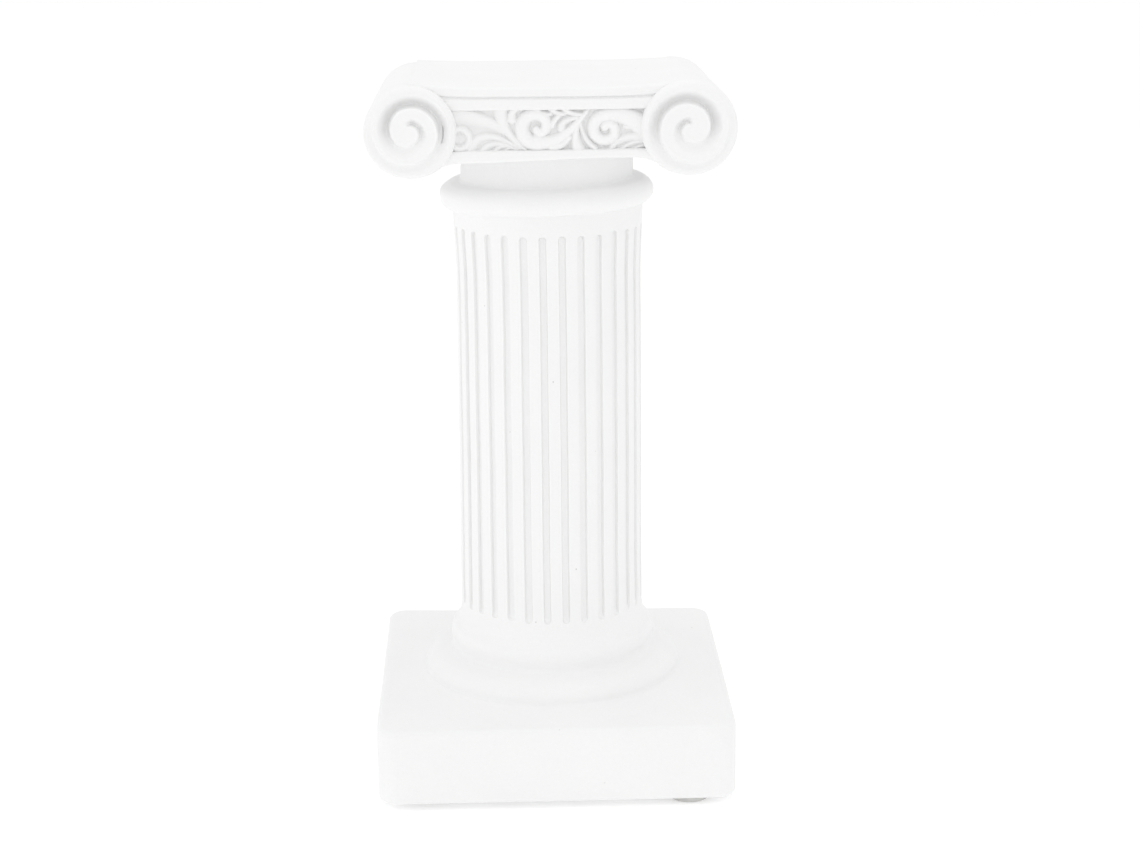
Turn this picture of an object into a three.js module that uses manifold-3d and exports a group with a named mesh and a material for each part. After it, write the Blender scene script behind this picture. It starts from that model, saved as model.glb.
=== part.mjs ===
// A small cast column for a shelf: square plinth, moulded base, fluted shaft and a scrolled capital
// with a leaf frieze, all one casting, standing on four round stick-on pads.
// Millimetres, +Z up. The front faces -Y and the pads rest on z = 0.

import * as THREE from "three";
import { mergeVertices } from "three/addons/utils/BufferGeometryUtils.js";
import Module from "manifold-3d";

const wasm = await Module();
wasm.setup();

// Pads under the plinth, set by hand and so not quite square to it
const PAD_DIAMETER = 10;
const PAD_THICK = 1.5;
const PAD_PLACES = {
  pad_front_left: [-32.5, -33],
  pad_front_right: [31.9, -36.4],
  pad_back_left: [-33, 34],
  pad_back_right: [32.5, 33.5],
};

// Plinth. Heights from here on are taken from its underside.
const PLINTH_WIDTH = 86;
const PLINTH_HEIGHT = 18.7;
const PLINTH_CORNER = 5;
const PLINTH_EDGE = 1.25;
const CROWN_RADIUS = 40;
const CROWN_RISE = 1.6;

// Moulded base: a low cushion under a round torus
const CUSHION_RADIUS = 31.9;
const CUSHION_SWELL = 8.9;
const CUSHION_TUCK = 0.3;
const CUSHION_Z = 20.9;
const CUSHION_RISE = 5;
const TORUS_RADIUS = 25.4;
const TORUS_TUBE = 3.9;
const TORUS_Z = 29.6;

// Shaft, with its flutes turned a little from the front
const SHAFT_FOOT_RADIUS = 22.7;
const SHAFT_HEAD_RADIUS = 22.4;
const SHAFT_FOOT_Z = 37;
const SHAFT_HEAD_Z = 134;
const FLUTES = 30;
const FLUTE_WIDTH = 2.2;
const FLUTE_DEPTH = 0.95;
const FLUTE_FOOT_Z = 37.8;
const FLUTE_HEAD_Z = 133.4;
const FLUTE_TURN = THREE.MathUtils.degToRad(-3.3);

// Neck ring and neck under the capital
const BAND_RADIUS = 22.9;
const BAND_TOP_Z = 138.3;
const RING_RADIUS = 25.75;
const RING_Z = 141.1;
const NECK_RADIUS = 20.7;
const NECK_Z = 144.9;

// Capital: two rolls along Y, narrowing to the back, joined by a slab
const ROLL_RADIUS = 11.05;
const ROLL_BACK_RADIUS = 10;
const ROLL_EDGE = 1.2;
const ROLL_X = 31.7;
const ROLL_Z = 159.6;
const ROLL_FACE_Y = 30.8;
const SLAB_BAND_Y = 28.7;
const SLAB_FOOT_Z = 152;
const SLAB_TOP_Z = 169.1;
const DISH_FLAT_X = 14.7;
const SWEEP_START_X = 21.1;
const SWEEP_END_X = 27.1;
const SWEEP_END_Z = 150.2;
const BAND_EDGE = 0.4;
const TOP_BAND = 2;
const LINE_WIDTH = 0.5;
const LINE_DEPTH = 0.6;
const SECOND_BAND = 2.6;
const FOOT_BAND = 2.8;
const PANEL_DEPTH = 1.7;
const PANEL_LAP = 0.3;
const PANEL_FOOT_Z = SLAB_FOOT_Z + FOOT_BAND;
const PANEL_TOP_Z = SLAB_TOP_Z - TOP_BAND - LINE_WIDTH - SECOND_BAND;

// Spiral of each roll end, from the eye outwards
const SPIRAL_EYE = 1.7;
const SPIRAL_RIM = 9.3;
const SPIRAL_TURNS = 1.8;
const SPIRAL_WIDTH = 2;
const SPIRAL_DEPTH = 2;
const SPIRAL_TAIL = 0.4;
const SPIRAL_FADE = 3;

// Relief of the frieze, measured from the middle of the panel's foot
const RELIEF = 1.55;
const RELIEF_ENDS = 0.75;
const LEAVES = [
  { name: "long frond", from: [-22, 7.3], by: [-12.6, 8], to: [-5.5, 0.2], width: [2.7, 0.7] },
  { name: "second frond", from: [-10.6, 9], by: [-11, 4.3], to: [-5.4, 0.2], width: [2, 0.7] },
  { name: "left spray", from: [-17.9, 0], by: [-14.8, 5.4], to: [-6.8, 0.5], width: [1.3, 0.8] },
  { name: "left spray", from: [-15, 0], by: [-12.8, 3.5], to: [-8, 0.4], width: [1.1, 0.7] },
  { name: "middle stem", from: [9.2, 8.6], by: [3.4, 1], to: [-3, 1.7], width: [0.9, 3] },
  { name: "bud", from: [-0.3, 7.6], by: [0.9, 6.8], to: [1.3, 4.9], width: [0.9, 1.3] },
  { name: "leaf on stem", from: [2.7, 5], by: [3.4, 7.4], to: [6.8, 7.4], width: [1.7, 0.7] },
  { name: "fan", from: [7.4, 6.4], by: [4.8, 3], to: [6.2, 0], width: [0.7, 2] },
  { name: "fan", from: [7.8, 6.4], by: [7.2, 2.2], to: [10, 0.4], width: [0.7, 1.2] },
  { name: "right tail", from: [22, 5], by: [18, 9], to: [12.6, 8.2], width: [2.6, 2.5] },
  { name: "right spray", from: [14.1, 0], by: [16.4, 4.4], to: [22, 3.6], width: [0.9, 1.7] },
  { name: "right spray", from: [16.5, 0], by: [18.6, 2.5], to: [22, 1.7], width: [0.8, 1.1] },
];
const PETALS = { first: [-2.6, 9.1], step: 3.2, bow: 1, reach: [3.3, -1.3], width: [1.5, 0.9] };
const PETAL_COUNT = 3;
const SCROLLS = [
  { name: "middle", at: [-3, 5.4], from: 270, turns: -1.45, radius: [3.7, 0.5], width: [2.8, 1.2] },
  { name: "right", at: [12.9, 4.5], from: 90, turns: 1.3, radius: [3.7, 0.6], width: [2.5, 1.2] },
  { name: "small curl", at: [-8.9, 7.3], from: 150, turns: 0.8, radius: [0.9, 0.3], width: [0.8, 0.7] },
  { name: "left ring", at: [-20.4, 2.6], from: -110, turns: 0.62, radius: [2.3, 2.3], width: [1.6, 1.6] },
];
const BACK_LEAVES = ["long frond", "middle stem", "right tail", "right spray"];
const BACK_SCROLLS = ["middle", "right"];

// How finely round shapes are cut
const ROUND_STEPS = 60;
const ROLL_STEPS = 26;
const SPIRAL_STEPS = 25;
const BACK_SPIRAL_STEPS = 16;
const LEAF_STEPS = 6;
const PETAL_STEPS = 3;
const BAR_SIDES = 6;
const PAD_STEPS = 20;

const castResin = new THREE.MeshStandardMaterial({ name: "cast_resin", color: 0xf1efec, roughness: 0.62 });
const padRubber = new THREE.MeshStandardMaterial({ name: "pad_rubber", color: 0xd9d8d4, roughness: 0.5 });

// A closed geometry as a solid that can be joined and cut
function solid(geometry) {
  const bare = geometry.clone();
  bare.deleteAttribute("normal");
  bare.deleteAttribute("uv");
  const welded = mergeVertices(bare, 1e-4);
  const corners = welded.index.array;
  const faces = [];
  for (let i = 0; i < corners.length; i += 3) {
    const [a, b, c] = [corners[i], corners[i + 1], corners[i + 2]];
    if (a !== b && b !== c && c !== a) {
      faces.push(a, b, c);
    }
  }
  return new wasm.Manifold(new wasm.Mesh({
    numProp: 3,
    vertProperties: new Float32Array(welded.attributes.position.array),
    triVerts: new Uint32Array(faces),
  }));
}

function joined(solids) {
  return solids.reduce((whole, piece) => whole.add(piece));
}

// The finished solid as a mesh, flat shaded
function meshOf(body, name, material) {
  const result = body.getMesh();
  const geometry = new THREE.BufferGeometry();
  geometry.setAttribute("position", new THREE.BufferAttribute(new Float32Array(result.vertProperties), 3));
  geometry.setIndex(new THREE.BufferAttribute(new Uint32Array(result.triVerts), 1));
  const mesh = new THREE.Mesh(geometry, material);
  mesh.name = name;
  return mesh;
}

// Points on a quarter or half oval of a profile, angles in degrees from straight out
function ovalPoints(radius, z, across, up, from, to, steps) {
  const points = [];
  for (let i = 0; i <= steps; i += 1) {
    const turn = THREE.MathUtils.degToRad(from + ((to - from) * i) / steps);
    points.push(new THREE.Vector2(radius + across * Math.cos(turn), z + up * Math.sin(turn)));
  }
  return points;
}

// A profile turned round the Z axis
function turned(points, steps) {
  return new THREE.LatheGeometry(points, steps).rotateX(Math.PI / 2);
}

function roundedSquare(width, corner) {
  const half = width / 2;
  const inner = half - corner;
  const shape = new THREE.Shape();
  shape.absarc(inner, inner, corner, 0, Math.PI / 2);
  shape.absarc(-inner, inner, corner, Math.PI / 2, Math.PI);
  shape.absarc(-inner, -inner, corner, Math.PI, Math.PI * 1.5);
  shape.absarc(inner, -inner, corner, Math.PI * 1.5, Math.PI * 2);
  return shape;
}

function plinth() {
  const shape = roundedSquare(PLINTH_WIDTH - 2 * PLINTH_EDGE, PLINTH_CORNER - PLINTH_EDGE);
  const block = new THREE.ExtrudeGeometry(shape, {
    depth: PLINTH_HEIGHT - 2 * PLINTH_EDGE,
    bevelThickness: PLINTH_EDGE,
    bevelSize: PLINTH_EDGE,
    bevelSegments: 2,
    curveSegments: 2,
  });
  return solid(block.translate(0, 0, PLINTH_EDGE));
}

// Everything round: the swell of the plinth's top, base mouldings, shaft, neck ring and neck
function roundStem() {
  const cushionInner = CUSHION_RADIUS - CUSHION_SWELL;
  const torusInner = TORUS_RADIUS - TORUS_TUBE;
  const ringFoot = RING_Z - BAND_TOP_Z;
  const profile = [
    new THREE.Vector2(0, PLINTH_HEIGHT / 2),
    new THREE.Vector2(CROWN_RADIUS, PLINTH_HEIGHT / 2),
    new THREE.Vector2(CROWN_RADIUS, PLINTH_HEIGHT - CUSHION_TUCK),
    new THREE.Vector2(CUSHION_RADIUS - CUSHION_TUCK, PLINTH_HEIGHT + CROWN_RISE),
    ...ovalPoints(cushionInner, CUSHION_Z, CUSHION_SWELL, CUSHION_RISE, 0, 82, 3),
    ...ovalPoints(torusInner, TORUS_Z, TORUS_TUBE, TORUS_TUBE, -75, 66, 5),
    new THREE.Vector2(SHAFT_FOOT_RADIUS, SHAFT_FOOT_Z),
    new THREE.Vector2(SHAFT_HEAD_RADIUS, SHAFT_HEAD_Z - 6),
    new THREE.Vector2(BAND_RADIUS, SHAFT_HEAD_Z),
    new THREE.Vector2(BAND_RADIUS, BAND_TOP_Z),
    ...ovalPoints(RING_RADIUS - ringFoot, RING_Z, ringFoot, ringFoot, -75, 0, 2),
    ...ovalPoints(NECK_RADIUS, RING_Z, RING_RADIUS - NECK_RADIUS, NECK_Z - RING_Z, 24, 90, 3),
    new THREE.Vector2(NECK_RADIUS, ROLL_Z),
    new THREE.Vector2(0, ROLL_Z),
  ];
  return solid(turned(profile, ROUND_STEPS).rotateZ(FLUTE_TURN));
}

// One flute cutter at the front: a bar with round ends and a flat floor
function fluteCutter() {
  const half = FLUTE_WIDTH / 2;
  const shape = new THREE.Shape();
  shape.absarc(0, FLUTE_FOOT_Z + half, half, Math.PI, Math.PI * 2);
  shape.absarc(0, FLUTE_HEAD_Z - half, half, 0, Math.PI);
  const bar = new THREE.ExtrudeGeometry(shape, {
    depth: 4 * FLUTE_DEPTH,
    bevelEnabled: false,
    curveSegments: 2,
  });
  return bar.rotateX(Math.PI / 2).translate(0, FLUTE_DEPTH - SHAFT_HEAD_RADIUS, 0);
}

function flutes() {
  const cutters = [];
  for (let i = 0; i < FLUTES; i += 1) {
    const turn = FLUTE_TURN + (i * 2 * Math.PI) / FLUTES;
    cutters.push(solid(fluteCutter().rotateZ(turn)));
  }
  return joined(cutters);
}

// A roll along Y with softened end edges
function roll(x) {
  const shoulder = ROLL_FACE_Y - ROLL_EDGE;
  const profile = [
    new THREE.Vector2(0, -ROLL_FACE_Y),
    ...ovalPoints(ROLL_RADIUS - ROLL_EDGE, -shoulder, ROLL_EDGE, ROLL_EDGE, -90, 0, 3),
    ...ovalPoints(ROLL_BACK_RADIUS - ROLL_EDGE, shoulder, ROLL_EDGE, ROLL_EDGE, 0, 90, 3),
    new THREE.Vector2(0, ROLL_FACE_Y),
  ];
  return solid(new THREE.LatheGeometry(profile, ROLL_STEPS).translate(x, 0, ROLL_Z));
}

// Front outline of the slab: dished top, and an underside that sweeps down into the rolls
function slabOutline() {
  const rollTop = ROLL_Z + ROLL_BACK_RADIUS;
  const dishBend = THREE.MathUtils.lerp(ROLL_X, DISH_FLAT_X, 1 / 3);
  const sweepBend = THREE.MathUtils.lerp(SWEEP_START_X, SWEEP_END_X, 1 / 3);
  const shape = new THREE.Shape();
  shape.moveTo(-ROLL_X, rollTop);
  shape.lineTo(-ROLL_X, ROLL_Z);
  shape.lineTo(-SWEEP_END_X, SWEEP_END_Z);
  shape.quadraticCurveTo(-sweepBend, SLAB_FOOT_Z, -SWEEP_START_X, SLAB_FOOT_Z);
  shape.lineTo(SWEEP_START_X, SLAB_FOOT_Z);
  shape.quadraticCurveTo(sweepBend, SLAB_FOOT_Z, SWEEP_END_X, SWEEP_END_Z);
  shape.lineTo(ROLL_X, ROLL_Z);
  shape.lineTo(ROLL_X, rollTop);
  shape.quadraticCurveTo(dishBend, SLAB_TOP_Z, DISH_FLAT_X, SLAB_TOP_Z);
  shape.lineTo(-DISH_FLAT_X, SLAB_TOP_Z);
  shape.quadraticCurveTo(-dishBend, SLAB_TOP_Z, -ROLL_X, rollTop);
  return shape;
}

// Side profile of the slab: two bands parted by a fine line, a sunk panel and a foot band
function slabProfile() {
  const line = SLAB_TOP_Z - TOP_BAND;
  const floor = SLAB_BAND_Y - PANEL_DEPTH;
  const half = [
    [SLAB_BAND_Y, SWEEP_END_Z - BAND_EDGE],
    [SLAB_BAND_Y, PANEL_FOOT_Z - BAND_EDGE],
    [SLAB_BAND_Y - BAND_EDGE, PANEL_FOOT_Z],
    [floor, PANEL_FOOT_Z],
    [floor, PANEL_TOP_Z],
    [SLAB_BAND_Y - BAND_EDGE, PANEL_TOP_Z],
    [SLAB_BAND_Y, PANEL_TOP_Z + BAND_EDGE],
    [SLAB_BAND_Y, line - LINE_WIDTH],
    [SLAB_BAND_Y - LINE_DEPTH, line - LINE_WIDTH / 2],
    [SLAB_BAND_Y, line],
    [SLAB_BAND_Y, ROLL_Z + ROLL_RADIUS],
  ];
  const back = half.map(([y, z]) => new THREE.Vector2(y, z));
  const front = half.map(([y, z]) => new THREE.Vector2(-y, z)).reverse();
  return new THREE.Shape([...back, ...front]);
}

function slab() {
  const along = new THREE.ExtrudeGeometry(slabOutline(), {
    depth: 2 * ROLL_FACE_Y,
    bevelEnabled: false,
    curveSegments: 8,
  });
  along.rotateX(Math.PI / 2).translate(0, ROLL_FACE_Y, 0);
  const across = new THREE.ExtrudeGeometry(slabProfile(), { depth: 2 * ROLL_X, bevelEnabled: false });
  across.rotateX(Math.PI / 2).rotateZ(Math.PI / 2).translate(-ROLL_X, 0, 0);
  return solid(along).intersect(solid(across));
}

// A spiral in the XZ plane, turning evenly from one radius to another
class Scroll extends THREE.Curve {
  constructor(x, z, fromDegrees, turns, fromRadius, toRadius) {
    super();
    this.centre = new THREE.Vector2(x, z);
    this.from = THREE.MathUtils.degToRad(fromDegrees);
    this.sweep = turns * 2 * Math.PI;
    this.radii = [fromRadius, toRadius];
  }

  getPoint(t, target = new THREE.Vector2()) {
    const turn = this.from + this.sweep * t;
    const radius = THREE.MathUtils.lerp(this.radii[0], this.radii[1], t);
    return target.set(Math.cos(turn), Math.sin(turn)).multiplyScalar(radius).add(this.centre);
  }
}

// A bar bent along a curve in the XZ plane, half sunk: its width lies in that plane, its height along Y
function bentBar(path, steps, width, height) {
  const bar = new THREE.CylinderGeometry(1, 1, 1, BAR_SIDES, steps);
  const reach = 2 * Math.cos(Math.PI / BAR_SIDES);
  const places = bar.attributes.position;
  const corner = new THREE.Vector3();
  for (let i = 0; i < places.count; i += 1) {
    corner.fromBufferAttribute(places, i);
    const along = corner.y + 0.5;
    const point = path.getPoint(along);
    const tangent = path.getTangent(along);
    const aside = (corner.x * THREE.MathUtils.lerp(width[0], width[1], along)) / reach;
    places.setXYZ(i, point.x - tangent.y * aside, corner.z * height(along), point.y + tangent.x * aside);
  }
  return bar;
}

// Spiral grooves of the two rolls as seen from the front, each turning outwards over the top
function volutes(size, steps, turn) {
  const depth = (t) => SPIRAL_DEPTH * Math.min(1, SPIRAL_TAIL + SPIRAL_FADE * (1 - t));
  const radii = [SPIRAL_EYE * size, SPIRAL_RIM * size];
  const cutters = [];
  for (const side of [-1, 1]) {
    const path = new Scroll(side * ROLL_X, ROLL_Z, 90, side * SPIRAL_TURNS, ...radii);
    const groove = bentBar(path, steps, [SPIRAL_WIDTH * 0.8, SPIRAL_WIDTH], depth);
    cutters.push(solid(groove.translate(0, -ROLL_FACE_Y, 0).rotateZ(turn)));
  }
  return joined(cutters);
}

// Leaf relief for one side of the slab
function frieze(leaves, scrolls, petals, turn) {
  const strokes = [];
  const swell = (t) => RELIEF * THREE.MathUtils.lerp(RELIEF_ENDS, 1, Math.sin(Math.PI * t));
  for (const leaf of leaves) {
    const ends = [leaf.from, leaf.by, leaf.to].map(([x, z]) => new THREE.Vector2(x, z));
    strokes.push(bentBar(new THREE.QuadraticBezierCurve(...ends), LEAF_STEPS, leaf.width, swell));
  }
  for (const scroll of scrolls) {
    const path = new Scroll(...scroll.at, scroll.from, scroll.turns, ...scroll.radius);
    const steps = Math.ceil(3 + 6 * Math.abs(scroll.turns));
    strokes.push(bentBar(path, steps, scroll.width, swell));
  }
  for (let i = 0; i < petals; i += 1) {
    const from = new THREE.Vector2(PETALS.first[0] + i * PETALS.step, PETALS.first[1]);
    const to = new THREE.Vector2(...PETALS.reach).add(from);
    const path = new THREE.QuadraticBezierCurve(from, new THREE.Vector2(from.x + PETALS.bow, to.y), to);
    strokes.push(bentBar(path, PETAL_STEPS, PETALS.width, swell));
  }
  const floor = SLAB_BAND_Y - PANEL_DEPTH;
  return joined(strokes.map((stroke) => solid(stroke.translate(0, -floor, PANEL_FOOT_Z).rotateZ(turn))));
}

function capital() {
  const front = frieze(LEAVES, SCROLLS, PETAL_COUNT, 0);
  const backLeaves = LEAVES.filter((leaf) => BACK_LEAVES.includes(leaf.name));
  const backScrolls = SCROLLS.filter((scroll) => BACK_SCROLLS.includes(scroll.name));
  const back = frieze(backLeaves, backScrolls, 0, Math.PI);
  const panelHeight = PANEL_TOP_Z - PANEL_FOOT_Z + 2 * PANEL_LAP;
  const panelSpace = new THREE.BoxGeometry(2 * ROLL_X, 2 * SLAB_BAND_Y, panelHeight);
  panelSpace.translate(0, 0, (PANEL_TOP_Z + PANEL_FOOT_Z) / 2);
  const relief = front.add(back).intersect(solid(panelSpace));
  return joined([slab(), relief, roll(-ROLL_X), roll(ROLL_X)])
    .subtract(volutes(1, SPIRAL_STEPS, 0))
    .subtract(volutes(ROLL_BACK_RADIUS / ROLL_RADIUS, BACK_SPIRAL_STEPS, Math.PI));
}

function column() {
  const casting = joined([plinth(), roundStem()]).subtract(flutes()).add(capital());
  const mesh = meshOf(casting, "column", castResin);
  mesh.position.z = PAD_THICK;
  return mesh;
}

function pad(name, x, y) {
  const disc = new THREE.CylinderGeometry(PAD_DIAMETER / 2, PAD_DIAMETER / 2, PAD_THICK, PAD_STEPS);
  const mesh = new THREE.Mesh(disc.rotateX(Math.PI / 2), padRubber);
  mesh.name = name;
  mesh.position.set(x, y, PAD_THICK / 2);
  return mesh;
}

const part = new THREE.Group();
part.name = "decorative_column";
part.add(column());
for (const [name, [x, y]] of Object.entries(PAD_PLACES)) {
  part.add(pad(name, x, y));
}

export default part;
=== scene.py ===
import math

import bmesh
import bpy
import numpy as np
from mathutils import Matrix, Vector, noise


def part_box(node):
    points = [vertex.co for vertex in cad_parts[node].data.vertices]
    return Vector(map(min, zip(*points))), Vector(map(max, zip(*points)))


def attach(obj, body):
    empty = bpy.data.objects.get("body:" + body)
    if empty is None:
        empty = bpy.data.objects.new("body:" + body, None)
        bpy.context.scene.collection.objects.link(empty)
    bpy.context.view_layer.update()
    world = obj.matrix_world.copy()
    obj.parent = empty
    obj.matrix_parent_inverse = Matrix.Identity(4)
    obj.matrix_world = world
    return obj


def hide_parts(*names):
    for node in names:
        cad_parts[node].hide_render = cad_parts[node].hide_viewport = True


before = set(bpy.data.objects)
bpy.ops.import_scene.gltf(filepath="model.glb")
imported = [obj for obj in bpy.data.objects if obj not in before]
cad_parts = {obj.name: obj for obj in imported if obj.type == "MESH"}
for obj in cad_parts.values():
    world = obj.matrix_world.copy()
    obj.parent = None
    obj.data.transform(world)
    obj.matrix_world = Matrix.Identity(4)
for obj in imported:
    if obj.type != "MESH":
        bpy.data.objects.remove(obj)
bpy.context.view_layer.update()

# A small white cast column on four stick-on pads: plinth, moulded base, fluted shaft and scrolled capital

MM = 0.001

# Sizes are millimetres, with heights from the underside of the plinth and cuts as shares of a size
column_low, column_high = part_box("column")
PAD_THICK = column_low.z / MM
PAD_RIM = 0.3
PAD_RIM_STEPS = 4
PLINTH_WIDTH = (column_high.x - column_low.x) / MM
PLINTH_HEIGHT = 18.7
PLINTH_CORNER = 5
PLINTH_CORNER_STEPS = 12
PLINTH_EDGE = 1.2
PLINTH_EDGE_STEPS = 5
PLINTH_CUTS = np.linspace(-0.45, 0.45, 13)
PLINTH_LEVELS = np.linspace(0.2, 0.8, 4)
CROWN_RADIUS = 40.5
CROWN_RISE = 1.9
CROWN_EASE = 1.8
CROWN_REACH = 0.94
CROWN_INSET = 0.3
CROWN_SINK = 0.03

# Arcs of a profile are degrees from straight out
CUSHION_RADIUS = 31.9
CUSHION_SWELL = 8.9
CUSHION_Z = 20.9
CUSHION_RISE = 5
CUSHION_ARC = (9, 66)
TORUS_RADIUS = 25.4
TORUS_TUBE = 3.9
TORUS_Z = 29.6
TORUS_ARC = (-26, 68)
COVE_RADIUS = 1.5
COVE_INSET = 0.55
COVE_Z = 27.1
COVE_ARC = (262, 160)
ROUND_STEPS = 150

SHAFT_FOOT_Z = 32.5
SHAFT_FOOT_RADIUS = 22.7
SHAFT_HEAD_RADIUS = 22.4
SHAFT_ROOT = 0.3
SHAFT_SEAT_INSET = 1
SHAFT_FLARE = 1.4
SHAFT_FLARE_Z = 36.6
SHAFT_FLARE_EASE = 2.3
TAPER_FOOT_Z = 37
TAPER_RISE = 90
BAND_RADIUS = 22.9
BAND_SWELL_Z = (121, 136)
BAND_TOP_Z = 138.3
BAND_EDGE = 0.25
FLARE_HEIGHTS = (33.1, 33.7, 34.5, 35.5, 36.8)
TAPER_HEIGHTS = (*np.linspace(42, 122, 8), *np.linspace(125, 131, 3))
BAND_HEIGHTS = (134, 135.5, 137)

FLUTES = 30
FLUTE_HALF = 1
FLUTE_DEPTH = 0.87
FLUTE_WALL = 0.2
FLUTE_ROUND = 0.2
FLUTE_FOOT_Z = 37.8
FLUTE_HEAD_Z = 133.4
FLUTE_FOOT_EASE = (-0.2, 1.7)
FLUTE_FOOT_SHARE = 0.35
FLUTE_TURN = math.radians(-4.1)
FLUTE_TWIST = math.radians(-0.9)
FLUTE_CROWD = math.radians(1.3)
FLUTE_PITCH = math.tau / FLUTES
FLUTE_STATIONS = (0, 0.25, 0.47, 0.66, 0.79, 0.87, 0.94, 1, 1.12, 1.6)
FLUTE_END_STATIONS = (-0.3, -0.08, 0.02, 0.1, 0.18, 0.28, 0.42, 0.6, 0.85, 1.4)
FLUTE_WIDTH_CHANGE = 0.08
FLUTE_END_CHANGE = 0.4
FLUTE_CHANGE_STEP = 2.3
FLUTE_CHANGE_ROW = 0.5
FLUTE_FOOT_SPAN = ((-0.04, -0.01), (0, 0.1))
FLUTE_HEAD_SPAN = ((0.9, 1), (1.01, 1.04))
# Painted shade on the flute walls: it sets in over this share of the way out from a flute's middle line
FLUTE_SHADE = (0.6, 0.85)
# Painted highlight on the flute lips: a band this half wide, set this far out, and only this share of it
# on the left lips
FLUTE_HIGHLIGHT_HALF = 0.12
FLUTE_HIGHLIGHT_OUTSET = 0.03
FLUTE_HIGHLIGHT_LEFT = 0.3

RING_RADIUS = 25.75
RING_Z = 141.1
RING_TUBE = 3.1
RING_FOOT_ARC = (-84, 0)
RING_TOP_ARC = (8, 84)
RING_ROOT = 1
RING_LIP = 0.1
RING_INSET = 0.2
NECK_RADIUS = 20.7
NECK_COVE = 0.9
NECK_COVE_ARC = (264, 180)
NECK_SHIFT = -0.3
NECK_MIDDLE_Z = 148
NECK_TOP_Z = 156

ROLL_RADIUS = 11.05
ROLL_BACK_RADIUS = 10
ROLL_EDGE = 1.9
ROLL_X = 31.7
ROLL_Z = 159.6
ROLL_FACE_Y = 30.8
ROLL_STEPS = 112
FACE_RINGS = 76
BARREL_RINGS = 12
BACK_FACE_RINGS = 24
LEFT_ROLL_SHARE = 0.965
LEFT_ROLL_SHIFT = (-0.35, 0, -0.3)

# Radii of each roll's spiral, right and left, at every quarter turn from its eye
SPIRAL_RADII = {
    1: (1.3, 1.75, 2.9, 4.8, 6, 7.1, 8, 9.1, 10.2),
    -1: (2.1, 2.3, 2.8, 4.6, 6.4, 7.1, 7.4, 8.8, 10.1),
}
QUARTERS = 4
SPIRAL_TURN = math.radians(62)
SPIRAL_DEPTH = 2.9
SPIRAL_STEEP = 0.8
SPIRAL_SLOPE = 2.7
SPIRAL_EYE_SHARE = 0.6
SPIRAL_EYE_TURNS = (0.15, 0.75)
SPIRAL_START_TURNS = (0, 0.12)
SPIRAL_FADE_TURNS = 0.45
SPIRAL_LOW_SHARE = 0.3
SPIRAL_LOW_SINES = (-0.95, 0.35)
SPIRAL_INNER_SHARE = 0.85
SPIRAL_INNER_TURNS = (0.3, 0.65)
# Painted shade in the spiral grooves
SPIRAL_SHADE = 0.6
# Painted highlight on the ridge edges beside the spiral grooves
RIDGE_HIGHLIGHT = 0.6
RIDGE_REACH = 0.7
RIDGE_CUTOFF = 5
CRACK_RADIUS = 7.9
CRACK_HALF = 0.2
CRACK_DEPTH = 1
CRACK_SPAN = ((-2.6, -2), (1.2, 1.8))
# Painted shade in the crack
CRACK_SHADE = 1.5

SLAB_BAND_Y = 28.7
SLAB_FOOT_Z = 152
SLAB_TOP_Z = 169.1
SLAB_EDGE = 0.8
SLAB_STEPS = 48
SLAB_FOOT_PLACES = (0, 12, 24)
SLAB_TOP_PLACES = (22, 11, 0)
BAND_BOW = 0.12
LOWER_BAND_Z = 153.4
UPPER_BAND_Z = 165.4
PANEL_FOOT_Z = 154.8
PANEL_TOP_Z = 164
PANEL_FLOOR_Y = 26.6
PANEL_SLANT = 0.15
PANEL_FOOT_EDGE = 0.6
PANEL_TOP_EDGE = 0.7
LINE_FOOT_Z = 166.6
LINE_TOP_Z = 167.1
LINE_SINK = 0.7
LINE_FOOT_EDGE = (0.45, 0.4)
LINE_TOP_EDGE = (0.4, 0.35)
DISH_FLAT_X = 14.7
DISH_EASE = 1.8
DISH_GAP = 0.05
DISH_FADE = 2
SWEEP_START_X = 20.5
SWEEP_DROP = 3.2
SWEEP_EASE = 1.6
TUCK_REACH = 0.88
TUCK_SHARE = 0.16
TUCK_EASE = 2

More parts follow.
